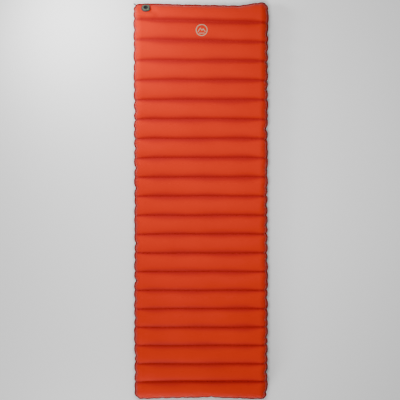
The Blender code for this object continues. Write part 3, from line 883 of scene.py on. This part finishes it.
def make_corner_ear(base):
    """The little grey tail of the outer weld at the corner beside the valve."""
    tree = BVHTree.FromObject(base, bpy.context.evaluated_depsgraph_get())
    corner = Vector((-WIDTH / 2, LENGTH / 2, MID_HEIGHT))
    root = tree.find_nearest(corner)[0]
    out = (Vector((corner.x, corner.y, 0)) - Vector((root.x, root.y, 0))).normalized()
    side = Vector((-out.y, out.x, 0))
    points, faces = [], []
    stations = [(-3, 4.5), (0, 3.2), (4, 2.7), (8, 2.6), (11, 2.4), (12.5, 1.5)]
    for layer in (-0.35, 0.35):
        for along, half in stations:
            lift = 0.018 * along * along
            for share in (-1, 0, 1):
                place = root + out * along * MM + side * half * share * MM
                points.append((place.x, place.y, root.z + (lift + layer) * MM))
    count = 3 * len(stations)
    for start, flip in ((0, True), (count, False)):
        index = start + np.arange(count).reshape(-1, 3)
        faces += quads(index, flip)
    edge = [0, 1, 2] + [3 * k + 2 for k in range(1, len(stations))]
    edge += [count - 2, count - 3] + [3 * k for k in range(len(stations) - 2, 0, -1)]
    for a, b in zip(edge, edge[1:] + edge[:1]):
        faces.append([a, b, b + count, a + count])
    return link_mesh("corner_ear", points, faces)


# ---- Stage: floor, lights and camera ---------------------------------------------------
def make_floor():
    floor = link_mesh("floor", [(-9, -9, 0), (9, -9, 0), (9, 9, 0), (-9, 9, 0)], [(0, 1, 2, 3)])
    make = Nodes("floor_look")
    place = make.add("TexCoord").outputs["Object"]
    shade = make.mix(make.noise(place, 1.5, 2), (0.9, 0.9, 0.9), (0.93, 0.93, 0.93))
    make.link(shade, make.shader.inputs["Base Color"])
    make.shader.inputs["Roughness"].default_value = 0.9
    make.shader.inputs["Specular IOR Level"].default_value = 0.1
    floor.data.materials.append(make.material)


def add_light(name, place, target, size, power, colour=(1, 1, 1)):
    data = bpy.data.lights.new(name, "AREA")
    data.shape = "DISK"
    data.size = size
    data.energy = power
    data.color = colour
    light = bpy.data.objects.new(name, data)
    bpy.context.scene.collection.objects.link(light)
    light.location = place
    light.rotation_euler = (Vector(target) - Vector(place)).to_track_quat("-Z", "Y").to_euler()


def light_stage():
    world = bpy.data.worlds.new("studio")
    bpy.context.scene.world = world
    world.use_nodes = True
    world.node_tree.nodes["Background"].inputs["Color"].default_value = (1, 1, 1, 1)
    world.node_tree.nodes["Background"].inputs["Strength"].default_value = 0.38
    add_light("key", (-0.72, 0.95, 0.52), (-0.1, 0.55, 0), 0.3, 8.5)
    add_light("head", (-0.5, 2.5, 1.2), (-0.1, 0.3, 0), 0.9, 16)
    add_light("foot", (-0.5, -2.1, 0.6), (-0.1, -0.3, 0), 0.7, 19)
    add_light("fill", (-0.1, 0.12, 1.7), (-0.05, 0.1, 0), 0.9, 26)


def aim_camera():
    data = bpy.data.cameras.new("camera")
    camera = bpy.data.objects.new("camera", data)
    bpy.context.scene.collection.objects.link(camera)
    bpy.context.scene.camera = camera
    tilt = math.radians(4.5)
    distance = 5.2
    target = Vector((0, 0, MID_HEIGHT))
    back = Vector((0, math.sin(tilt), math.cos(tilt)))
    camera.location = target + back * distance
    camera.rotation_euler = (-tilt, 0, 0)
    data.sensor_width = 36
    data.lens = 36 / (1.864 / distance)
    data.shift_x = -0.0025
    data.shift_y = 0.0115


# ---- Building --------------------------------------------------------------------------
make_floor()
light_stage()
aim_camera()

orange = (0.56, 0.021, 0.006)
grey = (0.045, 0.04, 0.04)
# After each cloth's own colour come the colour of its weld lines and painted crease shade, beside
# the seams and along the outer weld, then its flange colour.
face_look = cloth_material(
    "face_cloth_look", orange, (0.23, 0.006, 0.013), (0.16, 0.01, 0.008), 0.05, (1, 0.16, 0.05)
)
base_look = cloth_material(
    "base_cloth_look", grey, (0.03, 0.028, 0.028), (0.05, 0.045, 0.043), 0.2, (1, 1, 1)
)
baffle_look = film_cloth_material()
moulding_look = plastic_material("valve_moulding_look", (0.085, 0.1, 0.065), 0.5)
# The near-black last colour is painted shade over the cap's dimple and middle.
cap_look = plastic_material("cap_look", (0.085, 0.1, 0.065), 0.5, dimple_shade=(0.008, 0.007, 0.008))
plastic_look = plastic_material("valve_plastic_look", (0.04, 0.027, 0.03), 0.45)
rubber_look = plastic_material("seal_rubber_look", (0.02, 0.02, 0.02), 0.55, 0.05)
silicone_look = plastic_material("flap_silicone_look", (0.55, 0.55, 0.52), 0.35, 0.03)

top_fabric, base_fabric, baffle_cloths = make_sheets()
for piece, look, slot, node in (
    (top_fabric, face_look, "face_cloth", "top_sheet"),
    (base_fabric, base_look, "base_cloth", "bottom_sheet"),
):
    dress(piece, look)
    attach(piece, "pad")
    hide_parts(node)
for number, piece in enumerate(baffle_cloths):
    dress(piece, baffle_look)
    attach(piece, "pad")
    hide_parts(f"baffle_{len(baffle_cloths) - number:02d}")

badge = make_badge(top_fabric)
dress(badge, print_material("badge_look", (0.36, 0.26, 0.16)))
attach(badge, "pad")
ear = make_corner_ear(base_fabric)
dress(ear, plastic_look)
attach(ear, "pad")

for piece, look, slot, body, node in (
    (make_neck(), moulding_look, "valve_moulding", "pad", "valve_base"),
    (make_collar(), plastic_look, "valve_plastic", "pad", "valve_collar"),
    (make_stage(), moulding_look, "valve_moulding", "inflation_stage", "inflation_stage"),
    (make_cap(), cap_look, "valve_plastic", "valve_cap", "valve_cap"),
):
    dress(piece, look)
    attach(piece, body)
    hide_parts(node)

stage_tether = make_stage_tether()
dress(stage_tether, moulding_look)
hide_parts("stage_strap")
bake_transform(stage_tether)
cap_tether = make_cap_tether()
dress(cap_tether, moulding_look)
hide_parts("cap_strap")
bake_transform(cap_tether)

for node, look in (
    ("stage_seal", rubber_look),
    ("cap_seal", rubber_look),
    ("check_flap", silicone_look),
    ("flap_anchor", silicone_look),
    ("flap_rivet_1", plastic_look),
    ("flap_rivet_2", plastic_look),
):
    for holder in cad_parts[node].material_slots:
        holder.material = look
